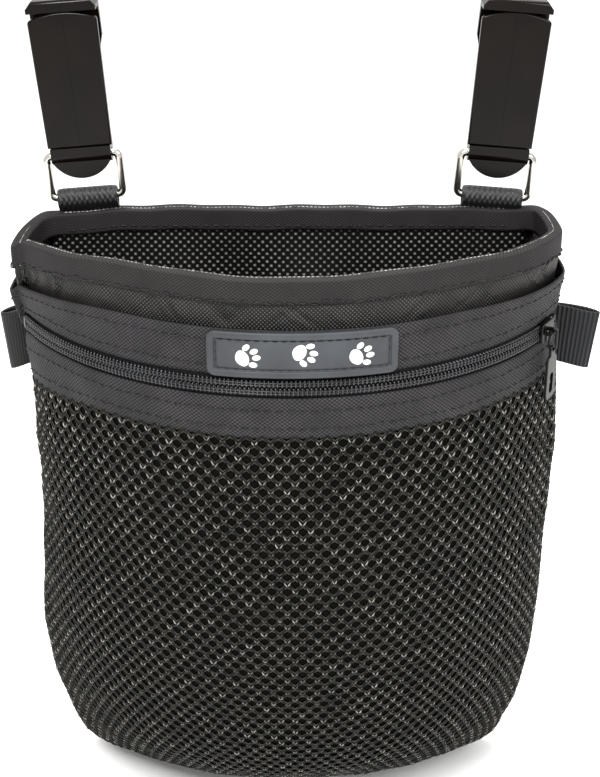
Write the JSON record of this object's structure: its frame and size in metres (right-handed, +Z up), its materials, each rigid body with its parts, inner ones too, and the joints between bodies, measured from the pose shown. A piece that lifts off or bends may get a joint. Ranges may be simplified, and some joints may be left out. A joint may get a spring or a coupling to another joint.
{
  "type": "treat pouch",
  "caption": "Open-topped belt pouch for treats, with a zipped mesh front pocket, side ribbon loops, and snap belt clips on rings in webbing loops.",
  "frame": {"origin": "middle of the flat hip face, 135 mm below the mouth rim", "axes": "+Z up, front of the pouch faces -Y, +Y out of the hip face, +X to the side with the zip slider"},
  "size_m": [0.2484, 0.0985, 0.3496],
  "materials": {
    "shell_cloth": "plain woven nylon, matt",
    "lining_cloth": "coated woven nylon with a shine",
    "pad_foam": "closed-cell foam sheet",
    "stay_plastic": "flat flexible stay",
    "binding_tape": "ribbed binding tape",
    "band_tape": "twill tape",
    "zip_tape": "knitted zip tape",
    "zip_coil": "nylon coil",
    "zip_metal": "black enamelled zinc",
    "air_mesh": "open spacer mesh",
    "label_rubber": "moulded soft rubber",
    "motif_rubber": "raised pale rubber",
    "ribbon": "grosgrain ribbon",
    "webbing": "coarse woven webbing",
    "ring_wire": "nickel-plated wire",
    "clip_plastic": "moulded, glossy"
  },
  "bodies": {
    "pouch": {"back_shell": "shell_cloth", "front_shell": "shell_cloth", "back_lining": "lining_cloth", "front_lining": "lining_cloth", "back_foam": "pad_foam", "rim_stay": "stay_plastic", "mouth_binding": "binding_tape", "seam_binding": "binding_tape", "upper_band": "band_tape", "lower_band": "band_tape", "zip_tape_upper": "zip_tape", "zip_tape_lower": "zip_tape", "zip_coil_upper": "zip_coil", "zip_coil_lower": "zip_coil", "zip_bottom_stop": "zip_metal", "zip_top_stops": "zip_metal", "mesh_panel": "air_mesh", "label_plate": "label_rubber", "label_motif": "motif_rubber", "left_side_loop": "ribbon", "right_side_loop": "ribbon", "left_webbing_loop": "webbing", "right_webbing_loop": "webbing"},
    "left_ring": {"left_ring": "ring_wire"},
    "left_clip": {"left_clip_frame": "clip_plastic"},
    "left_gate": {"left_clip_gate": "clip_plastic"},
    "right_ring": {"right_ring": "ring_wire"},
    "right_clip": {"right_clip_frame": "clip_plastic"},
    "right_gate": {"right_clip_gate": "clip_plastic"},
    "zip_slider": {"zip_slider": "zip_metal"},
    "pull_link": {"zip_pull_link": "zip_metal"},
    "pull_tab": {"zip_pull_tab": "zip_metal"}
  },
  "joints": [
    {"name": "left_ring_swing", "type": "hinge", "parent": "pouch", "child": "left_ring", "pos_m": [-0.0825, -0.0031, 0.1405], "axis": [0.9969, 0, 0.0785], "range_deg": [-85, 85]},
    {"name": "left_clip_swing", "type": "hinge", "parent": "left_ring", "child": "left_clip", "pos_m": [-0.08387, -0.0031, 0.15795], "axis": [0.9969, 0, 0.0785], "range_deg": [-90, 90]},
    {"name": "left_gate_press", "type": "hinge", "parent": "left_clip", "child": "left_gate", "pos_m": [-0.08415, -0.0053, 0.16154], "axis": [-0.9969, 0, -0.0785], "range_deg": [0, 5.5], "stiffness_Nm_per_rad": 1.5},
    {"name": "right_ring_swing", "type": "hinge", "parent": "pouch", "child": "right_ring", "pos_m": [0.0825, -0.0031, 0.1405], "axis": [0.9969, 0, -0.0785], "range_deg": [-85, 85]},
    {"name": "right_clip_swing", "type": "hinge", "parent": "right_ring", "child": "right_clip", "pos_m": [0.08387, -0.0031, 0.15795], "axis": [0.9969, 0, -0.0785], "range_deg": [-90, 90]},
    {"name": "right_gate_press", "type": "hinge", "parent": "right_clip", "child": "right_gate", "pos_m": [0.08415, -0.0053, 0.16154], "axis": [-0.9969, 0, 0.0785], "range_deg": [0, 5.5], "stiffness_Nm_per_rad": 1.5},
    {"name": "zip_travel", "type": "hinge", "parent": "pouch", "child": "zip_slider", "pos_m": [0, 0.02909, 0.095], "axis": [0, 0, 1], "range_deg": [-115.8, 0]},
    {"name": "pull_lift", "type": "hinge", "parent": "zip_slider", "child": "pull_link", "pos_m": [0.1055, -0.03886, 0.095], "axis": [-0.5414, -0.8407, 0], "range_deg": [0, 150]},
    {"name": "pull_swing", "type": "hinge", "parent": "pull_link", "child": "pull_tab", "pos_m": [0.1055, -0.03886, 0.08755], "axis": [0.8407, -0.5414, 0], "range_deg": [-60, 60]}
  ]
}
